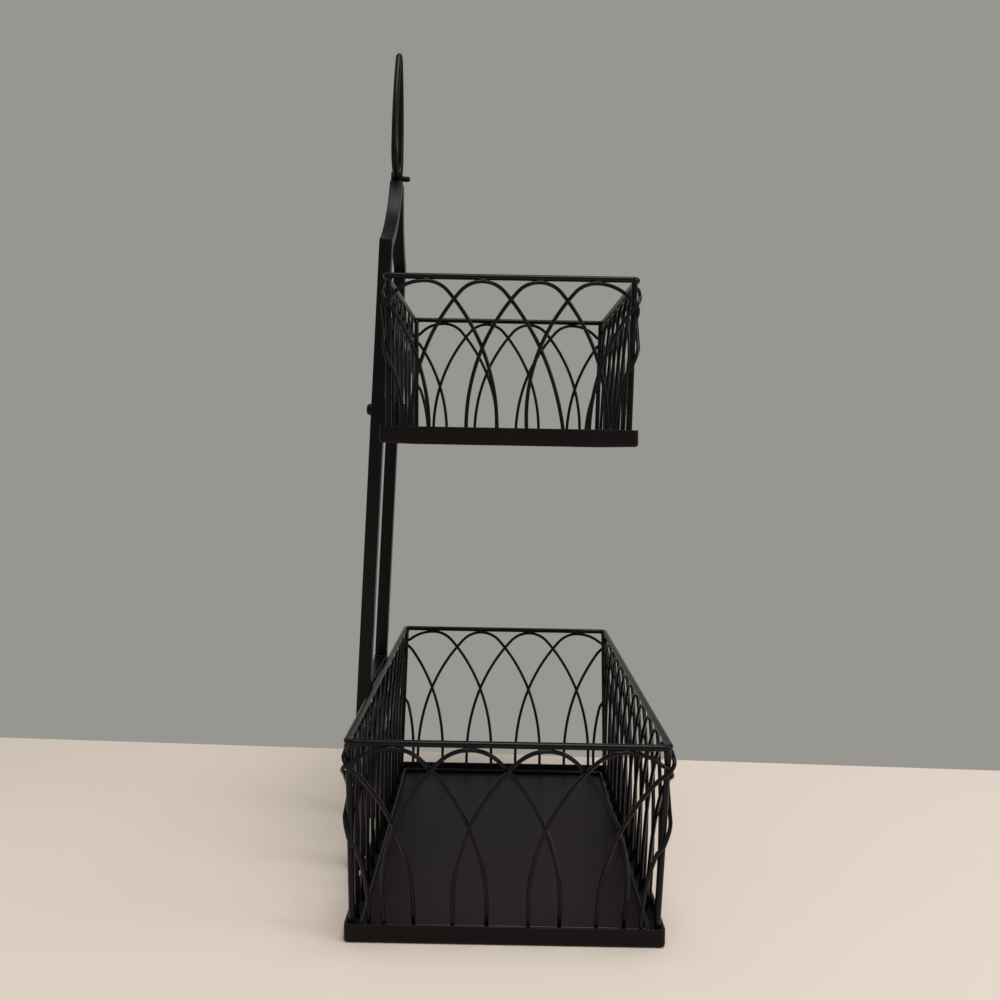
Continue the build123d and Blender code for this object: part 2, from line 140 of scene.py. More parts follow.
class StandSizes(bpy.types.PropertyGroup):
    """Sizes of the round rods and of the small things that join them."""

    rim_rod: mm_size("Rim rod", "Diameter of the rim rods", 4.4)
    rim_bend: mm_size("Rim bend", "Centre-line radius of the rim's corners", 4.2)
    wire_rod: mm_size("Arch wire", "Diameter of the bent arch wires", 2.8)
    layer_gap: mm_size("Layer spacing", "Distance between the two layers of wire", 2.87)
    wall_outset: mm_size("Wall outset", "How far the wires stand outside the rim", 0.9)
    post_rod: mm_size("Corner post", "Diameter of the corner posts", 4.2)
    post_gap: mm_size("Post gap", "From a post to the wires that pass round it", 0.2)
    swing_reach: mm_size("Swing reach", "How far from a corner the wires swing out", 20.0)
    ring_rod: mm_size("Base ring", "Diameter of the ring inside the feet", 3.5)
    ring_bend: mm_size("Ring bend", "Radius of the base ring's corners", 3.0)
    loop_rod: mm_size("Loop rod", "Diameter of the handle loop's rod", 5.2)
    loop_bottom: mm_size("Loop bottom", "Straight run at the foot of the loop", 6.0)
    loop_lower: mm_size("Loop lower bend", "Radius of the loop's lower corners", 21.5)
    loop_upper: mm_size("Loop upper bend", "Radius of the loop's long sides", 164.4)
    loop_tip: mm_size("Loop tip bend", "Radius of the loop's tip", 5.0)
    bar_edge: mm_size("Bar edge", "Rounding of the square bar's edges", 0.7)
    bar_paint: mm_size("Bar paint", "Thickness of the paint on the bars", 0.3)
    bar_front: mm_size("Bar front", "How much deeper the bars are at the front", 0.7)
    sheet_edge: mm_size("Sheet edge", "Rounding of the floors' and the bands' edges", 0.35)
    band_bend: mm_size("Band bend", "Radius of the bands' upright corners", 3.2)
    band_fold: mm_size("Band fold", "Rounding of the bands' lower edge", 2.2)
    lean: angle_prop("Lean", "Angle at which the two uprights lean forward", 1.65)
    head_width: mm_size("Screw head", "Diameter of a screw's button head", 9.2)
    head_height: mm_size("Head height", "Height of a screw's button head", 3.8)
    head_rim: mm_size("Head rim", "Straight edge at the foot of a screw's head", 0.7)
    head_flat: mm_size("Head flat", "Diameter of the flat round the socket", 5.0)
    socket_width: mm_size("Socket", "Width across the flats of a screw's socket", 3.0)
    socket_depth: mm_size("Socket depth", "Depth of a screw's socket", 2.0)
    shank_width: mm_size("Shank", "Diameter of a screw's shank", 5.0)
    shank_length: mm_size("Shank length", "Length of a screw below its head", 11.8)
    peg_rod: mm_size("Peg", "Diameter of the peg on the collar", 4.6)
    peg_round: mm_size("Peg end", "Rounding of the peg's end", 1.9)


class TierShape(bpy.types.PropertyGroup):
    """Sizes of the pointed arches of one basket."""

    long_arches: bpy.props.IntProperty(name="Long wall arches", default=12, min=4,
                                       description="Number of arches on each long wall")
    end_arches: bpy.props.IntProperty(name="End wall arches", default=4, min=1,
                                      description="Number of arches on each end wall")
    end_pitch: mm_size("End pitch", "Distance between arches on an end wall", 49.5)
    apex_radius: mm_size("Apex radius", "Radius of the top of an arch", 26.0)
    apex_angle: angle_prop("Apex angle", "Angle that the top bend turns to each side", 46.0)
    leg_radius: mm_size("Leg radius", "Radius of the long bend of a leg", 154.0)
    corner_distance: mm_size("Corner distance", "From a long wall's last apex to the corner", 20.0)
    second_distance: mm_size("Second distance", "From its last apex but one to the corner", 50.0)
    post_top_inset: mm_size("Post top inset", "From the walls to the post's top", 2.2)
    post_foot_inset: mm_size("Post foot inset", "From the walls to the post's foot", 0.4)
    corner_stretch: bpy.props.FloatProperty(
        name="Corner stretch", default=1.25, min=1.0,
        description="How much wider an end wall's leg at a corner is")
    second_stretch: bpy.props.FloatProperty(
        name="Second stretch", default=1.0, min=1.0,
        description="How much wider the second leg from a corner is on a long wall")


class StandFinish(bpy.types.PropertyGroup):
    """Colours of the paint, the table and the wall behind."""

    paint: colour_prop("Paint", "Black paint of the frame and the wires", (0.0044, 0.0038, 0.0047))
    sheet: colour_prop("Sheet paint", "Black paint of the bands and floors", (0.0058, 0.0034, 0.0037))
    # Colour laid on faces that look up, partly as fine dust and partly as painted sheen; the pale
    # specks are this colour made three times lighter.
    dust_and_sheen: colour_prop("Dust", "Fine dust on faces that look up", (0.032, 0.027, 0.026))
    floor: colour_prop("Table", "Pale table top", (0.74, 0.65, 0.57))
    backdrop: colour_prop("Backdrop", "Wall behind the table", (0.310, 0.305, 0.280))


GROUPS = {
    "stand_sizes": StandSizes,
    "stand_finish": StandFinish,
    "lower_arches": TierShape,
    "upper_arches": TierShape,
}


# Node trees


class Num:
    """A number socket of a shader; sums and products on it add Math nodes."""

    def __init__(self, shader, socket):
        self.shader = shader
        self.socket = socket

    def _math(self, operation, first, second):
        node = self.shader.make("ShaderNodeMath", {0: first, 1: second}, operation=operation)
        return Num(self.shader, node.outputs[0])

    def __add__(self, other):
        return self._math("ADD", self, other)

    def __sub__(self, other):
        return self._math("SUBTRACT", self, other)

    def __rsub__(self, other):
        return self._math("SUBTRACT", other, self)

    def __mul__(self, other):
        return self._math("MULTIPLY", self, other)

    __radd__ = __add__
    __rmul__ = __mul__

    def band(self, low, high):
        """Rise smoothly from 0 at low to 1 at high."""
        node = self.shader.make("ShaderNodeMapRange", {
            "Value": self, "From Min": low, "From Max": high}, interpolation_type="SMOOTHSTEP")
        return Num(self.shader, node.outputs["Result"])


class Nodes:
    """A node tree that is filled by one method."""

    def __init__(self, tree):
        self.tree = tree

    def make(self, kind, sockets=None, **settings):
        """Add a node, set its settings, then set or link its sockets by name or number."""
        node = self.tree.nodes.new(kind)
        for key, value in settings.items():
            setattr(node, key, value)
        for key, value in (sockets or {}).items():
            if isinstance(value, Num):
                value = value.socket
            if isinstance(value, bpy.types.NodeSocket):
                self.tree.links.new(value, node.inputs[key])
            else:
                node.inputs[key].default_value = value
        return node


class Shader(Nodes):
    """A material whose pattern is laid on the object's own coordinates."""

    def __init__(self, name):
        self.material = bpy.data.materials.new(name)
        self.material.use_nodes = True
        super().__init__(self.material.node_tree)
        self.tree.nodes.clear()
        self.place = self.make("ShaderNodeTexCoord").outputs["Object"]

    def shifted(self, seed, second, third):
        """The object's coordinates moved by a seed, so that no two patterns are alike."""
        node = self.make("ShaderNodeVectorMath", {
            0: self.place, 1: (seed, seed * second, seed * third)}, operation="ADD")
        return node.outputs[0]

    def noise(self, size, detail=2.0, seed=0.0):
        """Noise from 0 to 1 whose blots are about as wide as size."""
        node = self.make("ShaderNodeTexNoise", {
            "Vector": self.shifted(seed, 0.7, 1.3), "Scale": 1 / size, "Detail": detail})
        return Num(self, node.outputs[0])

    def specks(self, spacing, radius, seed):
        """Small soft-edged dots, 1 inside and 0 outside, about one for each spacing."""
        node = self.make("ShaderNodeTexVoronoi", {
            "Vector": self.shifted(seed, 0.3, 1.7), "Scale": 1 / spacing}, feature="F1")
        distance = Num(self, node.outputs["Distance"]) * spacing
        return 1 - distance.band(radius * 0.6, radius)

    def upward(self):
        """How far a face looks up: 1 for level, 0 for upright or less."""
        normal = self.make("ShaderNodeNewGeometry").outputs["Normal"]
        node = self.make("ShaderNodeSeparateXYZ", {0: normal})
        return Num(self, node.outputs["Z"]).band(0.15, 0.95)

    def mix(self, factor, first, second):
        """Blend two colours."""
        node = self.make("ShaderNodeMix", {0: factor, 6: first, 7: second}, data_type="RGBA")
        return node.outputs[2]

    def bump(self, height, depth, strength):
        """Raise the surface by height, from 0 to 1, times a depth in metres."""
        node = self.make("ShaderNodeBump", {
            "Strength": strength, "Distance": depth, "Height": height})
        return node.outputs[0]

    def surface(self, sockets):
        """Close the material with one principled shader."""
        shader = self.make("ShaderNodeBsdfPrincipled", sockets)
        self.make("ShaderNodeOutputMaterial", {"Surface": shader.outputs[0]})
        return self.material


def rgba(colour, gain=1.0):
    """Four channels from a colour property."""
    return (colour[0] * gain, colour[1] * gain, colour[2] * gain, 1.0)


def new_geometry_tree(name, sockets):
    """A new geometry tree with named inputs; returns its nodes and the input sockets."""
    tree = bpy.data.node_groups.new(name, "GeometryNodeTree")
    tree.interface.new_socket("Geometry", in_out="INPUT", socket_type="NodeSocketGeometry")
    for socket_name, kind in sockets:
        tree.interface.new_socket(socket_name, in_out="INPUT", socket_type="NodeSocket" + kind)
    tree.interface.new_socket("Geometry", in_out="OUTPUT", socket_type="NodeSocketGeometry")
    nodes = Nodes(tree)
    return nodes, nodes.make("NodeGroupInput").outputs


def along_turn(nodes, axis):
    """Rotation that lays an axis along each point's own direction."""
    along = nodes.make("GeometryNodeInputNamedAttribute", {"Name": "along"},
                       data_type="FLOAT_VECTOR")
    turn = nodes.make("FunctionNodeAlignRotationToVector", {"Vector": along.outputs[0]},
                      axis=axis)
    return turn.outputs[0]


def close_tree(nodes, geometry, material, smooth=True):
    """Shade smooth if asked, realize, give the material and send the geometry out."""
    if smooth:
        shaded = nodes.make("GeometryNodeSetShadeSmooth", {"Geometry": geometry})
        geometry = shaded.outputs[0]
    real = nodes.make("GeometryNodeRealizeInstances", {"Geometry": geometry})
    painted = nodes.make("GeometryNodeSetMaterial", {
        "Geometry": real.outputs[0], "Material": material})
    nodes.make("NodeGroupOutput", {0: painted.outputs[0]})
    return nodes.tree


def round_rod_tree():
    """Tree that lays a round rod along every line of a mesh."""
    nodes, given = new_geometry_tree("Round rod", (
        ("Rod radius", "Float"), ("Sides", "Int"), ("Material", "Material")))
    line = nodes.make("GeometryNodeMeshToCurve", {"Mesh": given["Geometry"]})
    section = nodes.make("GeometryNodeCurvePrimitiveCircle", {
        "Resolution": given["Sides"], "Radius": given["Rod radius"]})
    rod = nodes.make("GeometryNodeCurveToMesh", {
        "Curve": line.outputs[0], "Profile Curve": section.outputs[0], "Fill Caps": True})
    return close_tree(nodes, rod.outputs[0], given["Material"])


def weld_bead_tree():
    """Tree that sets a lumpy weld bead on every point, up to a fifth larger or smaller."""
    nodes, given = new_geometry_tree("Weld beads", (
        ("Half length", "Float"), ("Half width", "Float"), ("Lump height", "Float"),
        ("Seed", "Int"), ("Material", "Material")))
    size = nodes.make("FunctionNodeRandomValue", {2: 0.8, 3: 1.2, "Seed": given["Seed"]},
                      data_type="FLOAT")
    shape = nodes.make("ShaderNodeCombineXYZ", {
        "X": given["Half length"], "Y": given["Half width"], "Z": given["Half width"]})
    scale = nodes.make("ShaderNodeVectorMath", {
        0: shape.outputs[0], "Scale": size.outputs[1]}, operation="SCALE")
    bead = nodes.make("GeometryNodeMeshUVSphere", {"Radius": 1.0, "Segments": 8, "Rings": 5})
    beads = nodes.make("GeometryNodeInstanceOnPoints", {
        "Points": given["Geometry"], "Instance": bead.outputs[0],
        "Rotation": along_turn(nodes, "X"), "Scale": scale.outputs[0]})
    real = nodes.make("GeometryNodeRealizeInstances", {"Geometry": beads.outputs[0]})
    lump = nodes.make("ShaderNodeTexNoise", {"Scale": 900.0, "Detail": 1.0})
    centred = nodes.make("ShaderNodeVectorMath", {
        0: lump.outputs["Color"], 1: (0.5, 0.5, 0.5)}, operation="SUBTRACT")
    offset = nodes.make("ShaderNodeVectorMath", {
        0: centred.outputs[0], "Scale": given["Lump height"]}, operation="SCALE")
    moved = nodes.make("GeometryNodeSetPosition", {
        "Geometry": real.outputs[0], "Offset": offset.outputs[0]})
    return close_tree(nodes, moved.outputs[0], given["Material"])


def turned_row_tree():
    """Tree that sets one turned piece on every point, upright along the point's direction."""
    nodes, given = new_geometry_tree("Turned row", (
        ("Pattern", "Object"), ("Material", "Material")))
    pattern = nodes.make("GeometryNodeObjectInfo", {"Object": given["Pattern"]})
    row = nodes.make("GeometryNodeInstanceOnPoints", {
        "Points": given["Geometry"], "Instance": pattern.outputs["Geometry"],
        "Rotation": along_turn(nodes, "Z")})
    return close_tree(nodes, row.outputs[0], given["Material"], smooth=False)


def shared_tree(name, maker):
    """The geometry tree of that name, made the first time it is asked for."""
    return bpy.data.node_groups.get(name) or maker()


# Materials


# The paint of each part: its colour, cloudiness, roughness, shine, strength of its orange peel
# and share of dust and painted sheen on faces that look up.
PAINTS = {
    "frame": ("paint", 0.25, 0.30, 0.12, 0.30, 0.05),
    "wire": ("paint", 0.30, 0.19, 0.15, 0.05, 0.03),
    "weld": ("paint", 0.35, 0.38, 0.30, 0.60, 0.15),
    "sheet": ("sheet", 0.36, 0.38, 0.12, 0.45, 0.28),
}


def black_paint(part):
    """Black stoving paint: cloudy colour, orange peel, dust and painted sheen on top and a few pale
    specks.
    """
    name = part.capitalize() + " paint"
    existing = bpy.data.materials.get(name)
    if existing:
        return existing
    colour_name, clouding, roughness, shine, peel, dust_and_sheen_share = PAINTS[part]
    finish = bpy.context.scene.stand_finish
    colour = getattr(finish, colour_name)
    shader = Shader(name)
    cloud = shader.noise(size=38 * MM, detail=3.0, seed=3.1)
    patch = shader.noise(size=9 * MM, seed=7.7)
    grain = shader.noise(size=1.3 * MM, seed=1.9)
    fleck = shader.specks(spacing=11 * MM, radius=0.45 * MM, seed=5.3)
    # Faces that look up are lightened, partly by dust and partly by a painted sheen from the light
    # above.
    dust_and_sheen = shader.upward() * (0.35 + cloud * 0.45 + patch * 0.2) * dust_and_sheen_share
    base = shader.mix(cloud, rgba(colour, 1 - clouding), rgba(colour, 1 + clouding))
    base = shader.mix(dust_and_sheen, base, rgba(finish.dust_and_sheen))
    base = shader.mix(fleck * 0.6, base, rgba(finish.dust_and_sheen, gain=3.0))
    rough = roughness + (cloud - 0.5) * 0.12 + (grain - 0.5) * 0.10 + dust_and_sheen * 0.25
    height = grain * 0.6 + patch * 0.4
    return shader.surface({
        "Base Color": base, "Roughness": rough, "Specular IOR Level": shine,
        "Normal": shader.bump(height, depth=0.12 * MM, strength=peel)})


# Mesh helpers


def node_box(node):
    """Lowest and highest corner of a CAD node, as vectors."""
    low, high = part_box(node)
    return Vector(low), Vector(high)


def foot_point(low, high, lift=0.0):
    """Middle of a box's underside, lifted."""
    return Vector(((low.x + high.x) / 2, (low.y + high.y) / 2, low.z + lift))


def new_object(name, mesh):
    """A new object in the scene."""
    piece = bpy.data.objects.new(name, mesh)
    bpy.context.scene.collection.objects.link(piece)
    return piece


def line_mesh(name, lines, closed):
    """Mesh of edges only, one line after another."""
    mesh = bpy.data.meshes.new(name)
    points = []
    edges = []
    for line in lines:
        first = len(points)
        points.extend(line)
        edges.extend((first + i, first + i + 1) for i in range(len(line) - 1))
        if closed:
            edges.append((len(points) - 1, first))
    mesh.from_pydata([tuple(point) for point in points], edges, [])
    return mesh


def bake_modifiers(piece):
    """Turn an object with live modifiers into a plain mesh."""
    graph = bpy.context.evaluated_depsgraph_get()
    mesh = bpy.data.meshes.new_from_object(piece.evaluated_get(graph), depsgraph=graph)
    spent = piece.data
    piece.modifiers.clear()
    piece.data = mesh
    bpy.data.meshes.remove(spent)


def run_tree(piece, tree, values):
    """Run a geometry tree on an object with these inputs and keep the plain mesh."""
    modifier = piece.modifiers.new(tree.name, "NODES")
    modifier.node_group = tree
    inputs = {item.name: item.identifier for item in tree.interface.items_tree
              if item.in_out == "INPUT"}
    for name, value in values.items():
        modifier[inputs[name]] = value
    bake_modifiers(piece)


def hand_over(piece, nodes):
    """Let a finished piece ride on the stand and stand for its CAD nodes."""
    if not piece.data.polygons:
        raise RuntimeError(piece.name + " came out empty")
    if nodes:
        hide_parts(*nodes)
    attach(piece, BODY)


def round_rods(name, lines, diameter, sides, node, closed=False, part="wire"):
    """Lay smooth round rods along lines, in place of a CAD node."""
    piece = new_object(name, line_mesh(name, lines, closed))
    tree = shared_tree("Round rod", round_rod_tree)
    run_tree(piece, tree, {
        "Rod radius": diameter / 2, "Sides": sides, "Material": black_paint(part)})
    hand_over(piece, [node])


def shade_round(shape):
    """Shade a shape's faces smooth and keep its sharp edges."""
    for face in shape.faces:
        face.smooth = True
    for edge in shape.edges:
        edge.smooth = edge.calc_face_angle(0.0) < SHARP_ANGLE


def finished_mesh(name, shape):
    """Turn an edited shape into a mesh."""
    mesh = bpy.data.meshes.new(name)
    shape.to_mesh(mesh)
    shape.free()
    return mesh


def stitch(shape, below, above):
    """Close the strip between two rings of corners."""
    for i in range(len(below)):
        j = (i + 1) % len(below)
        shape.faces.new((below[i], below[j], above[j], above[i]))


def merged_node(node):
    """Shape of a CAD node with its loose triangles joined."""
    shape = bmesh.new()
    shape.from_mesh(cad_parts[node].data)
    bmesh.ops.remove_doubles(shape, verts=shape.verts, dist=MERGE_DISTANCE)
    return shape


def softened_copy(name, node, edge, part, coat=0.0, forward=0.0):
    """Copy of a CAD node, rounded, coated and with its front set forward, in the node's place."""
    shape = merged_node(node)
    bmesh.ops.dissolve_limit(shape, angle_limit=math.radians(0.5), verts=shape.verts,
                             edges=shape.edges)
    shape.normal_update()
    front = {vert for face in shape.faces if -face.normal.y > FRONT_FACING
             for vert in face.verts}
    for vert in front:
        vert.co.y -= forward
    for face in shape.faces:
        face.smooth = True
    piece = new_object(name, finished_mesh(name, shape))
    piece.data.materials.append(black_paint(part))
    for kind, settings in (
            ("DISPLACE", {"strength": coat, "mid_level": 0.0}),
            ("BEVEL", {"width": edge, "segments": 3, "limit_method": "ANGLE",
                       "angle_limit": SHARP_ANGLE}),
            ("WEIGHTED_NORMAL", {"keep_sharp": True})):
        modifier = piece.modifiers.new(kind, kind)
        for key, value in settings.items():
            setattr(modifier, key, value)
    bake_modifiers(piece)
    # The coat of paint doesn't lower the foot, which may stand on the table.
    foot = node_box(node)[0].z
    for vert in piece.data.vertices:
        vert.co.z = max(vert.co.z, foot)
    hand_over(piece, [node])


def mark_mesh(name, marks):
    """Mesh of single points, each with a direction."""
    mesh = bpy.data.meshes.new(name)
    mesh.from_pydata([tuple(point) for point, along in marks], [], [])
    field = mesh.attributes.new("along", "FLOAT_VECTOR", "POINT")
    for item, (point, along) in zip(field.data, marks):
        item.vector = along
    return mesh


def turned_mesh(outline, sides=24, socket=None):
    """Solid turned about Z from its foot up, with a six-sided socket in its end if asked."""
    shape = bmesh.new()
    angles = [2 * math.pi * i / sides for i in range(sides)]
    circles = [([radius] * sides, height) for radius, height in outline]
    if socket:
        width, depth = socket
        hexagon = []
        for angle in angles:
            from_flat = (angle + math.pi / 6) % (math.pi / 3) - math.pi / 6
            hexagon.append(width / 2 / math.cos(from_flat))
        end = outline[-1][1]
        circles += [(hexagon, end), (hexagon, end - depth)]
    rings = []
    for radii, height in circles:
        rings.append([shape.verts.new((radius * math.cos(angle), radius * math.sin(angle), height))
                      for radius, angle in zip(radii, angles)])
    shape.faces.new(list(reversed(rings[0])))
    shape.faces.new(rings[-1])
    for below, above in zip(rings, rings[1:]):
        stitch(shape, below, above)
    shape.normal_update()
    shade_round(shape)
    return finished_mesh("turned", shape)


def quarter_bend(start, radius, base, rise, steps=6):
    """Pairs of a radius and a height along a quarter of an ellipse."""
    angles = [math.pi / 2 * i / steps for i in range(steps + 1)]
    return [(start + radius * math.cos(angle), base + rise * math.sin(angle)) for angle in angles]


def set_turned(name, pattern_mesh, marks, node):
    """Set copies of a turned piece on marked points, in place of a CAD node."""
    pattern = new_object(name + "_pattern", pattern_mesh)
    piece = new_object(name, mark_mesh(name, marks))
    tree = shared_tree("Turned row", turned_row_tree)
    run_tree(piece, tree, {"Pattern": pattern, "Material": black_paint("frame")})
    bpy.data.objects.remove(pattern)
    bpy.data.meshes.remove(pattern_mesh)
    hand_over(piece, [node])


def weld_beads(name, marks, bead, seed):
    """Set lumpy weld beads on marked points, along each point's direction."""
    half_length, half_width = bead
    piece = new_object(name, mark_mesh(name, marks))
    tree = shared_tree("Weld beads", weld_bead_tree)
    run_tree(piece, tree, {
        "Half length": half_length, "Half width": half_width,
        "Lump height": half_width * LUMP_SHARE, "Seed": seed, "Material": black_paint("weld")})
    hand_over(piece, [])


def loose_boxes(node):
    """Lowest and highest corner of every solid in a CAD node."""
    shape = merged_node(node)
    waiting = dict.fromkeys(shape.verts)
    boxes = []
    while waiting:
        group = [waiting.popitem()[0]]
        for vert in group:
            for edge in vert.link_edges:
                other = edge.other_vert(vert)
                if other in waiting:
                    del waiting[other]
                    group.append(other)
        boxes.append((Vector([min(vert.co[i] for vert in group) for i in range(3)]),
                      Vector([max(vert.co[i] for vert in group) for i in range(3)])))
    shape.free()
    return boxes


def arc(centre, radius, start, end, first, second, steps):
    """Points on an arc in the plane of two directions, both ends included."""
    points = []
    for i in range(steps + 1):
        angle = start + (end - start) * i / steps
        points.append(centre + (first * math.cos(angle) + second * math.sin(angle)) * radius)
    return points


def rounded_rectangle(half_x, half_y, bend, centre, steps):
    """Closed level line round a rectangle with bent corners."""
    points = []
    for quarter, (sx, sy) in enumerate(((1, 1), (-1, 1), (-1, -1), (1, -1))):
        middle = centre + Vector((sx * (half_x - bend), sy * (half_y - bend), 0))
        start = quarter * math.pi / 2
        points += arc(middle, bend, start, start + math.pi / 2,
                      Vector((1, 0, 0)), Vector((0, 1, 0)), steps)
    return points


# Basket walls


def on_end(side):
    """Whether a wall is one of the two end walls."""
    return side % 2 == 1


class Tier:
    """One basket as the frame gives it, with the lines of its wires."""

    def __init__(self, name):
        sizes = bpy.context.scene.stand_sizes
        shape = getattr(bpy.context.scene, name + "_arches")
        rim_low, rim_high = node_box(name + "_rim")
        floor_low, floor_high = node_box(name + "_floor")
        self.name = name
        self.sizes = sizes
        self.shape = shape
        self.rim_centre = (rim_low + rim_high) / 2
        rim_half = (rim_high - rim_low) / 2
        self.rim_half_x = rim_half.x - rim_half.z
        self.rim_half_y = rim_half.y - rim_half.z
        self.centre = Vector((self.rim_centre.x, self.rim_centre.y, 0))
        self.band_top = node_box(name + "_band")[1].z
        self.floor_top = floor_high.z
        self.top_half_x = self.rim_half_x + sizes.wall_outset
        self.top_half_y = self.rim_half_y + sizes.wall_outset
        rim_drop = math.sqrt((sizes.rim_rod / 2) ** 2 - sizes.wall_outset ** 2)
        self.apex_height = self.rim_centre.z - rim_drop + ARCH_SINK - sizes.wire_rod / 2
        inset = (sizes.layer_gap + sizes.wire_rod) / 2
        self.corner_reach = (sizes.post_rod + sizes.wire_rod) / 2
        self.base_half_x = (floor_high.x - floor_low.x) / 2 - inset
        self.base_half_y = (floor_high.y - floor_low.y) / 2 - inset
        self.leg_centre = (shape.apex_radius - shape.leg_radius) * math.sin(shape.apex_angle)
        self.half_span = self.leg_centre + shape.leg_radius
        self.rise = (shape.apex_radius * (1 - math.cos(shape.apex_angle))
                     + shape.leg_radius * math.cos(shape.apex_angle))

    def half_length(self, side):
        """Half the length of a wall at its top."""
        return self.top_half_y if on_end(side) else self.top_half_x

    def share_of_height(self, height):
        """Share of the way from the band's top to the arches' tops."""
        return (height - self.band_top) / (self.apex_height - self.band_top)

    def half_sizes(self, height):
        """Half length and half width of the wall's middle surface at a height."""
        share = self.share_of_height(height)
        return (self.base_half_x + (self.top_half_x - self.base_half_x) * share,
                self.base_half_y + (self.top_half_y - self.base_half_y) * share)

    def drop(self, distance):
        """Depth of the arch line below its apex at a distance to the side of it."""
        shape = self.shape
        if distance < shape.apex_radius * math.sin(shape.apex_angle):
            return shape.apex_radius - math.sqrt(shape.apex_radius ** 2 - distance ** 2)
        reach = min(distance - self.leg_centre, shape.leg_radius)
        return self.rise - math.sqrt(shape.leg_radius ** 2 - reach ** 2)

    def stations(self):
        """Distances from the apex at which a leg gets a point."""
        shape = self.shape
        apex = [shape.apex_radius * math.sin(shape.apex_angle * i / APEX_STEPS)
                for i in range(1, APEX_STEPS + 1)]
        step = (math.pi / 2 - shape.apex_angle) / LEG_STEPS
        legs = [self.leg_centre + shape.leg_radius * math.sin(shape.apex_angle + step * i)
                for i in range(1, LEG_STEPS + 1)]
        return apex + legs

    def wall_point(self, side, share, height, outward):
        """Point on a wall at a share of its half length, set out by a layer's offset."""
        half_x, half_y = self.half_sizes(height)
        along, out = (half_y, half_x) if on_end(side) else (half_x, half_y)
        return (self.centre + OUTWARD[side] * (out + outward)
                + RIGHTWARD[side] * share * along + UP * height)

    def post_inset(self, height):
        """Distance from the walls' middle surface in to the middle of a corner post."""
        foot = self.shape.post_foot_inset
        return foot + (self.shape.post_top_inset - foot) * self.share_of_height(height)

    def swing(self, to_corner, height, layer):
        """Offset of a wire that eases out of its layer to pass round the corner post."""
        share = max(0.0, 1 - abs(to_corner) / self.sizes.swing_reach)
        ease = share * share * (3 - 2 * share)
        around = self.corner_reach + self.sizes.post_gap + layer * CORNER_LAYER_SHARE
        return layer + (around - self.post_inset(height) - layer) * ease

    def corner_points(self, side, hand, corner, stretch, layer):
        """Points of a wire's bend from one wall to the next, at the heights of its leg."""
        across = RIGHTWARD[side] * hand
        points = []
        for i in range(BEND_STEPS + 1):
            share = 2 * i / BEND_STEPS - 1
            angle = math.pi / 4 * (share + 1)
            distance = corner + share * self.corner_reach
            height = self.apex_height - self.drop(distance / stretch)
            inset = self.post_inset(height)
            bend = self.swing(0, height, layer) + inset
            post = self.wall_point(side, hand, height, -inset) - across * inset
            points.append(post + (OUTWARD[side] * math.cos(angle)
                                  + across * math.sin(angle)) * bend)
        return points

    def leg(self, side, index, hand):
        """Points of one leg below the apex; hand is 1 for the right leg and -1 for the left."""
        centre = self.centres(side)[index]
        spread = FOOT_SHIFTS.get((self.name, side, index, hand), 0.0) * MM
        top_half = self.half_length(side)
        next_half = self.half_length(side + 1)
        corner = top_half - centre * hand
        stretch = self.stretch(side, corner)
        wraps = self.half_span * stretch > corner
        if not wraps:
            stretch = 1.0
        full_layer = -hand * self.sizes.layer_gap / 2
        next_side = (side + hand) % len(SIDES)
        reach = self.corner_reach + BEND_MARGIN
        points = []
        folded = False
        for station in self.stations():
            distance = station * stretch + spread * (self.drop(station) / self.rise) ** 2
            layer = full_layer * min(distance / (self.pitch(side) * LAYER_SHARE), 1.0)
            height = self.apex_height - self.drop(station)
            outward = self.swing(corner - distance, height, layer)
            if wraps and not folded and distance > corner - reach:
                points += self.corner_points(side, hand, corner, stretch, full_layer)
                folded = True
            if not folded:
                share = (centre + hand * distance) / top_half
                points.append(self.wall_point(side, share, height, outward))
            elif distance > corner + reach:
                share = hand * (distance - corner - next_half) / next_half
                points.append(self.wall_point(next_side, share, height, outward))
        # From the last station the wire goes on to the floor sheet in the same place.
        foot_side = next_side if folded else side
        points.append(self.wall_point(foot_side, share, self.floor_top, outward))
        return points

    def stretch(self, side, corner):
        """How much wider a leg is that may reach round the corner."""
        shape = self.shape
        if on_end(side):
            return shape.corner_stretch
        midway = (shape.corner_distance + shape.second_distance) / 2
        return shape.second_stretch if corner > midway else 1.0

    def even_count(self, side):
        """Number of arches at an even pitch: all but a long wall's first and last."""
        return self.shape.end_arches if on_end(side) else self.shape.long_arches - 2

    def pitch(self, side):
        """Distance between the arches that stand at an even pitch."""
        if on_end(side):
            return self.shape.end_pitch
        length = 2 * (self.top_half_x - self.shape.second_distance)
        return length / (self.even_count(side) - 1)

    def centres(self, side):
        """Places of the apexes along a wall, measured from the middle of the wall."""
        count = self.even_count(side)
        places = [(i - (count - 1) / 2) * self.pitch(side) for i in range(count)]
        if on_end(side):
            return places
        last = self.top_half_x - self.shape.corner_distance
        return [-last] + places + [last]

    def apex(self, side, centre):
        """Top point of an arch."""
        return self.wall_point(side, centre / self.half_length(side), self.apex_height, 0)

    def arch(self, side, index):
        """Line of one bent wire from foot to foot."""
        left = self.leg(side, index, -1)
        right = self.leg(side, index, 1)
        return list(reversed(left)) + [self.apex(side, self.centres(side)[index])] + right

    def post_line(self, sx, sy):
        """Middle line of a corner post."""
        sizes = self.sizes
        ends = []
        foot = self.floor_top + sizes.ring_rod * POST_FOOT_SHARE
        top = self.rim_centre.z - sizes.rim_rod / 2 + POST_SINK
        for height in (foot, top):
            half_x, half_y = self.half_sizes(height)
            inset = self.post_inset(height)
            ends.append(self.centre + Vector((sx * (half_x - inset), sy * (half_y - inset), height)))
        return ends


class StandOperator(bpy.types.Operator):
    """Common ground of the stand's operators."""

    bl_options = {"REGISTER", "UNDO"}


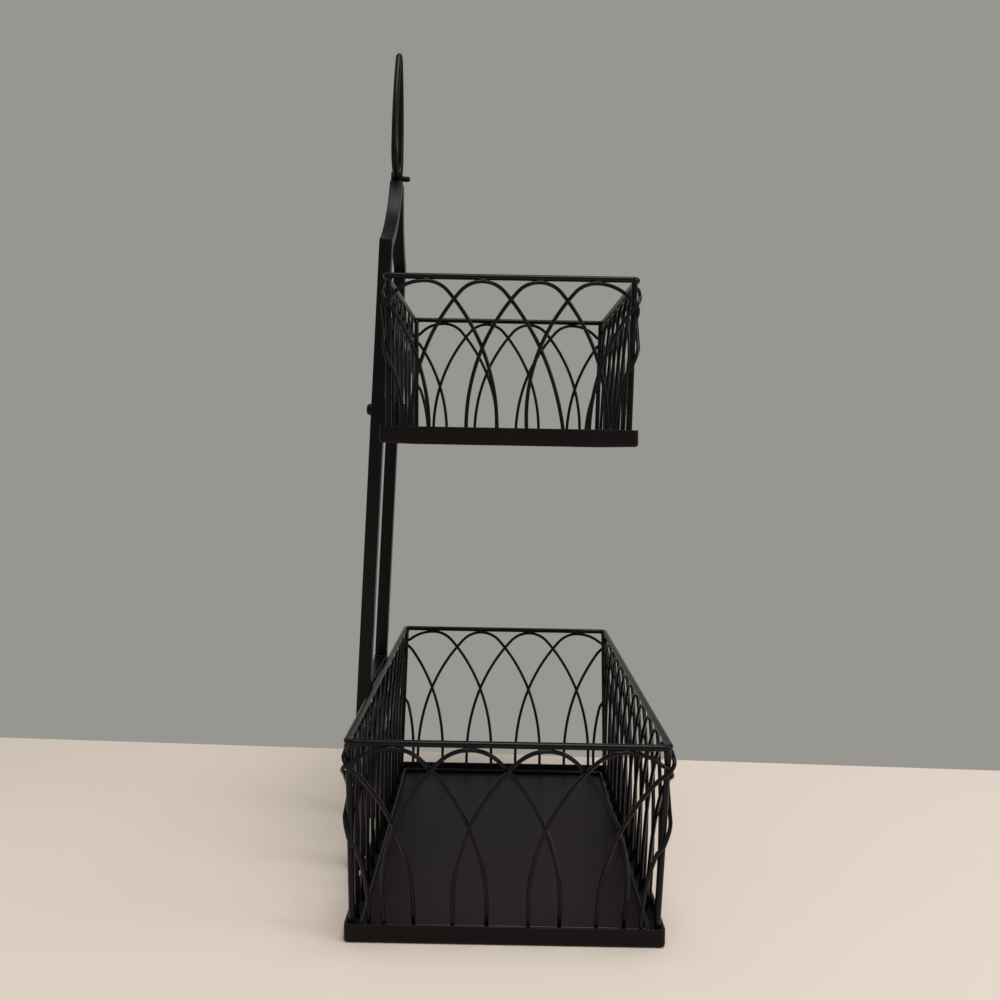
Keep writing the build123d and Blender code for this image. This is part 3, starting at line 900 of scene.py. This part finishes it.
class STAND_OT_rims(StandOperator):
    """Bend the two rim rods and the two base rings"""

    bl_idname = "stand.rims"
    bl_label = "Rims and base rings"

    def execute(self, context):
        sizes = context.scene.stand_sizes
        for name in TIERS:
            tier = Tier(name)
            line = rounded_rectangle(tier.rim_half_x, tier.rim_half_y, sizes.rim_bend,
                                     tier.rim_centre, steps=14)
            round_rods(name + "_rim_rod", [line], sizes.rim_rod, sides=24,
                       node=name + "_rim", closed=True)
            low, high = node_box(name + "_base_ring")
            half = sizes.ring_rod / 2
            line = rounded_rectangle((high.x - low.x) / 2 - half, (high.y - low.y) / 2 - half,
                                     sizes.ring_bend, foot_point(low, high, half), steps=8)
            round_rods(name + "_ring_rod", [line], sizes.ring_rod, sides=16,
                       node=name + "_base_ring", closed=True)
        return {"FINISHED"}


class STAND_OT_walls(StandOperator):
    """Lay the interlaced arch wires of both baskets"""

    bl_idname = "stand.walls"
    bl_label = "Arch wires"

    def execute(self, context):
        sizes = context.scene.stand_sizes
        for name in TIERS:
            tier = Tier(name)
            for side, side_name in enumerate(SIDES):
                lines = [tier.arch(side, index) for index in range(len(tier.centres(side)))]
                round_rods(name + "_wires_" + side_name, lines, sizes.wire_rod, sides=12,
                           node=name + "_arches_" + side_name)
        return {"FINISHED"}


class STAND_OT_posts(StandOperator):
    """Stand the four corner posts in each basket"""

    bl_idname = "stand.posts"
    bl_label = "Corner posts"

    def execute(self, context):
        sizes = context.scene.stand_sizes
        for name in TIERS:
            tier = Tier(name)
            for depth, sy in (("front", -1), ("back", 1)):
                for hand, sx in (("left", -1), ("right", 1)):
                    node = name + "_post_" + depth + "_" + hand
                    round_rods(node + "_rod", [tier.post_line(sx, sy)], sizes.post_rod,
                               sides=20, node=node)
        return {"FINISHED"}


class STAND_OT_bars(StandOperator):
    """Round the edges of the square bars, the collar and the lugs"""

    bl_idname = "stand.bars"
    bl_label = "Square bars"

    def execute(self, context):
        sizes = context.scene.stand_sizes
        for node in ("left_upright", "right_upright", "left_shoulder", "right_shoulder",
                     "cross_bar"):
            softened_copy(node + "_bar", node, sizes.bar_edge, "frame",
                          coat=sizes.bar_paint, forward=sizes.bar_front)
        softened_copy("loop_collar_bar", "loop_collar", sizes.bar_edge, "frame")
        for name in TIERS:
            for hand in ("left", "right"):
                node = name + "_lug_" + hand
                softened_copy(node + "_block", node, sizes.bar_edge, "frame")
        return {"FINISHED"}


def band_mesh(name, sizes, half_x, half_y, thickness, foot, height):
    """Strip on edge round a rectangle, folded round at its foot and bent at the corners."""
    fold = sizes.band_fold
    lip = sizes.sheet_edge
    section = [(max(thickness, fold) + lip, 0.0)]
    section += reversed(quarter_bend(fold, -fold, fold, -fold, steps=4))
    section += quarter_bend(lip, -lip, height - lip, lip, steps=4)
    section.append((thickness, height))
    shape = bmesh.new()
    rings = []
    for inset, rise in section:
        bend = sizes.band_bend - inset * BAND_BEND_SHARE
        line = rounded_rectangle(half_x - inset, half_y - inset, bend, foot + UP * rise, steps=6)
        rings.append([shape.verts.new(point) for point in line])
    for below, above in zip(rings, rings[1:] + rings[:1]):
        stitch(shape, below, above)
    bmesh.ops.recalc_face_normals(shape, faces=shape.faces)
    shade_round(shape)
    mesh = finished_mesh(name, shape)
    mesh.materials.append(black_paint("sheet"))
    return mesh


class STAND_OT_sheets(StandOperator):
    """Fold the bands and round the edges of the floor sheets"""

    bl_idname = "stand.sheets"
    bl_label = "Bands and floors"

    def execute(self, context):
        sizes = context.scene.stand_sizes
        for name in TIERS:
            softened_copy(name + "_floor_sheet", name + "_floor", sizes.sheet_edge, "sheet")
            low, high = node_box(name + "_band")
            thickness = high.x - node_box(name + "_floor")[1].x
            half = (high - low) / 2
            mesh = band_mesh(name + "_band_strip", sizes, half.x, half.y, thickness,
                             foot_point(low, high), high.z - low.z)
            hand_over(new_object(name + "_band_strip", mesh), [name + "_band"])
        return {"FINISHED"}


class STAND_OT_loop(StandOperator):
    """Bend the handle loop and set it in its collar"""

    bl_idname = "stand.loop"
    bl_label = "Handle loop"

    def execute(self, context):
        sizes = context.scene.stand_sizes
        low, high = node_box("handle_loop")
        across = Vector((1, 0, 0))
        half_width = sizes.loop_bottom / 2 + sizes.loop_lower
        rod_radius = (high.y - low.y) / 2
        foot = foot_point(low, high, rod_radius)
        lower = foot + across * sizes.loop_bottom / 2 + UP * sizes.loop_lower
        upper = foot + across * (half_width - sizes.loop_upper) + UP * sizes.loop_lower
        reach = sizes.loop_upper - sizes.loop_tip
        tip_angle = math.acos((sizes.loop_upper - half_width) / reach)
        tip = foot + UP * (sizes.loop_lower + reach * math.sin(tip_angle))
        right = arc(lower, sizes.loop_lower, -math.pi / 2, 0, across, UP, steps=16)
        right += arc(upper, sizes.loop_upper, 0, tip_angle, across, UP, steps=24)[1:]
        top = arc(tip, sizes.loop_tip, tip_angle, math.pi - tip_angle, across, UP, steps=12)[1:-1]
        left = [Vector((2 * foot.x - point.x, point.y, point.z)) for point in reversed(right)]
        round_rods("handle_loop_rod", [right + top + left], sizes.loop_rod, sides=24,
                   node="handle_loop", closed=True, part="frame")
        return {"FINISHED"}


class STAND_OT_screws(StandOperator):
    """Drive the four button-headed screws in from behind and set the peg on the collar"""

    bl_idname = "stand.screws"
    bl_label = "Screws and peg"

    def execute(self, context):
        sizes = context.scene.stand_sizes
        backward = Vector((0, math.cos(sizes.lean), math.sin(sizes.lean)))
        shank = sizes.shank_width / 2
        edge = sizes.head_width / 2
        flat = sizes.head_flat / 2
        outline = [(shank, -sizes.shank_length), (shank, 0), (edge, 0)]
        outline += quarter_bend(flat, edge - flat, sizes.head_rim,
                                sizes.head_height - sizes.head_rim)
        marks = []
        for low, high in loose_boxes("basket_screws"):
            middle = (low + high) / 2
            # A leaning screw's box is deeper than the screw, because its head is tilted.
            tilt = sizes.head_width * math.sin(sizes.lean)
            length = (high.y - low.y - tilt / 2) / math.cos(sizes.lean)
            marks.append((middle + backward * (length / 2 - sizes.head_height), backward))
        socket = (sizes.socket_width, sizes.socket_depth)
        set_turned("basket_screw_row", turned_mesh(outline, socket=socket), marks,
                   "basket_screws")
        low, high = node_box("collar_peg")
        length = (high.y - low.y) / math.cos(sizes.lean)
        foot = Vector(((low.x + high.x) / 2, high.y, (low.z + high.z) / 2))
        outline = [(sizes.peg_rod / 2, 0)]
        outline += quarter_bend(sizes.peg_rod / 2 - sizes.peg_round, sizes.peg_round,
                                length - sizes.peg_round, sizes.peg_round)
        set_turned("collar_peg_pin", turned_mesh(outline), [(foot, -backward)],
                   "collar_peg")
        return {"FINISHED"}


class STAND_OT_welds(StandOperator):
    """Lay the weld beads under the rims, at the posts, the cross bar and the collar"""

    bl_idname = "stand.welds"
    bl_label = "Welds"

    def execute(self, context):
        sizes = context.scene.stand_sizes
        for name in TIERS:
            tier = Tier(name)
            marks = []
            for side in range(len(SIDES)):
                for centre in tier.centres(side):
                    lift = UP * sizes.wire_rod * RIM_WELD_SHARE
                    marks.append((tier.apex(side, centre) + lift, RIGHTWARD[side]))
            weld_beads(name + "_rim_welds", marks, RIM_BEAD, seed=11)
            marks = [(tier.post_line(sx, sy)[1] - UP * POST_WELD_DROP, UP)
                     for sx in (-1, 1) for sy in (-1, 1)]
            weld_beads(name + "_post_welds", marks, POST_BEAD, seed=23)
        self.bar_welds()
        return {"FINISHED"}

    def bar_welds(self):
        """Rows of beads where the cross bar and the collar meet their neighbours."""
        marks = []
        low, high = node_box("cross_bar")
        for x in (low.x, high.x):
            for z in (low.z, high.z):
                marks += self.bead_row(Vector((x, low.y + BAR_WELD_INSET, z)),
                                       Vector((x, high.y - BAR_WELD_INSET, z)))
            for y in (low.y, high.y):
                marks += self.bead_row(Vector((x, y, low.z)), Vector((x, y, high.z)))
        low, high = node_box("loop_collar")
        height = low.z + COLLAR_WELD_LIFT
        for y in (low.y + COLLAR_WELD_INSET, high.y - COLLAR_WELD_INSET):
            marks += self.bead_row(Vector((low.x, y, height)), Vector((high.x, y, height)))
        weld_beads("bar_welds", marks, BAR_BEAD, seed=37)

    def bead_row(self, start, end):
        """Marks at a bead's spacing from one point to another."""
        count = max(2, round((end - start).length / BEAD_SPACING))
        along = (end - start).normalized()
        return [(start + (end - start) * i / (count - 1), along) for i in range(count)]


class STAND_OT_stage(StandOperator):
    """Set the floor, the backdrop, the lights and the camera"""

    bl_idname = "stand.stage"
    bl_label = "Studio"

    def execute(self, context):
        finish = context.scene.stand_finish
        shape = bmesh.new()
        near_end = TABLE_END - TABLE_SKEW * TABLE_REACH
        far_end = TABLE_END + TABLE_SKEW * TABLE_REACH
        corners = ((-TABLE_REACH, -TABLE_REACH), (near_end, -TABLE_REACH),
                   (far_end, TABLE_REACH), (-TABLE_REACH, TABLE_REACH))
        shape.faces.new([shape.verts.new((x, y, 0)) for x, y in corners])
        floor = new_object("studio_floor", finished_mesh("studio_floor", shape))
        board = Shader("Studio floor")
        mottle = board.noise(size=250 * MM)
        tone = board.mix(mottle, rgba(finish.floor, gain=0.99), rgba(finish.floor, gain=1.01))
        floor.data.materials.append(board.surface({"Base Color": tone, "Roughness": 0.8}))
        place_lights(context.scene)
        place_camera(context.scene)
        context.scene.view_settings.view_transform = "Standard"
        return {"FINISHED"}


def area_light(name, place, aim, size, power, colour):
    """One soft square lamp."""
    lamp = bpy.data.lights.new(name, "AREA")
    lamp.size = size
    lamp.energy = power
    lamp.color = colour
    holder = bpy.data.objects.new(name, lamp)
    holder.location = place
    holder.rotation_euler = (Vector(aim) - Vector(place)).to_track_quat("-Z", "Y").to_euler()
    bpy.context.scene.collection.objects.link(holder)


def place_lights(scene):
    """Soft light from above and from the camera's right, in an evenly lit room."""
    area_light("overhead", place=(-0.9, -0.3, 2.7), aim=(0, 0, 0.2), size=1.4, power=44.0,
               colour=WARM_LIGHT)
    area_light("window", place=(-1.0, -2.3, 1.5), aim=(0, 0, 0.25), size=1.2, power=24.0,
               colour=COOL_LIGHT)
    world = bpy.data.worlds.new("Studio air")
    world.use_nodes = True
    nodes = Nodes(world.node_tree)
    nodes.tree.nodes.clear()
    rays = nodes.make("ShaderNodeLightPath").outputs
    looked = rays["Is Camera Ray"]
    for ray in ("Is Glossy Ray", "Is Transmission Ray"):
        either = nodes.make("ShaderNodeMath", {0: looked, 1: rays[ray]}, operation="MAXIMUM")
        looked = either.outputs[0]
    plain = nodes.make("ShaderNodeBackground", {"Color": rgba(WARM_LIGHT), "Strength": 0.42})
    seen = nodes.make("ShaderNodeBackground", {
        "Color": rgba(scene.stand_finish.backdrop), "Strength": 1.0})
    shown = nodes.make("ShaderNodeMixShader", {
        0: looked, 1: plain.outputs[0], 2: seen.outputs[0]})
    nodes.make("ShaderNodeOutputWorld", {"Surface": shown.outputs[0]})
    scene.world = world


def place_camera(scene):
    """Camera at the end of the baskets, level with the middle of the stand."""
    place = Vector((-820.4, 0.8, 328.15)) * MM
    pitch = math.radians(0.82)
    roll = math.radians(1.05)
    forward = Vector((math.cos(pitch), 0, math.sin(pitch)))
    level = Vector((0, -1, 0))
    above = level.cross(forward)
    right = level * math.cos(roll) + above * math.sin(roll)
    upward = above * math.cos(roll) - level * math.sin(roll)
    data = bpy.data.cameras.new("photo_view")
    data.lens = 35.3
    data.sensor_width = 36.0
    data.shift_y = -0.0658
    data.clip_start = 0.01
    camera = bpy.data.objects.new("photo_view", data)
    turn = Matrix((right, upward, -forward)).transposed().to_4x4()
    camera.matrix_world = Matrix.Translation(place) @ turn
    scene.collection.objects.link(camera)
    scene.camera = camera


STEPS = (STAND_OT_rims, STAND_OT_walls, STAND_OT_posts, STAND_OT_bars, STAND_OT_sheets,
         STAND_OT_loop, STAND_OT_screws, STAND_OT_welds, STAND_OT_stage)


class STAND_PT_panel(bpy.types.Panel):
    """Panel that lists the steps and the sizes"""

    bl_label = "Basket stand"
    bl_idname = "STAND_PT_panel"
    bl_space_type = "VIEW_3D"
    bl_region_type = "UI"
    bl_category = "Basket stand"

    def draw(self, context):
        for step in STEPS:
            self.layout.operator(step.bl_idname)
        for group_name in GROUPS:
            group = getattr(context.scene, group_name)
            column = self.layout.column()
            for name in group.__annotations__:
                column.prop(group, name)


CLASSES = (StandSizes, TierShape, StandFinish) + STEPS + (STAND_PT_panel,)


def register():
    """Register the classes and hang the properties on the scene."""
    for item in CLASSES:
        bpy.utils.register_class(item)
    for name, group in GROUPS.items():
        setattr(bpy.types.Scene, name, bpy.props.PointerProperty(type=group))


def unregister():
    """Take the properties and the classes away again."""
    for name in GROUPS:
        delattr(bpy.types.Scene, name)
    for item in reversed(CLASSES):
        bpy.utils.unregister_class(item)


def set_upper_arches(scene):
    """Set the upper basket's arches, which are narrower and steeper than the lower one's."""
    shape = scene.upper_arches
    shape.long_arches = 7
    shape.corner_distance = 20.5 * MM
    shape.second_distance = 52.4 * MM
    shape.second_stretch = 1.25
    shape.post_top_inset = 2.9 * MM
    shape.post_foot_inset = 1.6 * MM
    shape.end_pitch = 40.8 * MM
    shape.apex_radius = 21.0 * MM
    shape.apex_angle = math.radians(49)
    shape.leg_radius = 148.0 * MM
    shape.corner_stretch = 1.3


def main():
    register()
    set_upper_arches(bpy.context.scene)
    for step in STEPS:
        group, action = step.bl_idname.split(".")
        getattr(getattr(bpy.ops, group), action)()


if __name__ == "__main__":
    main()
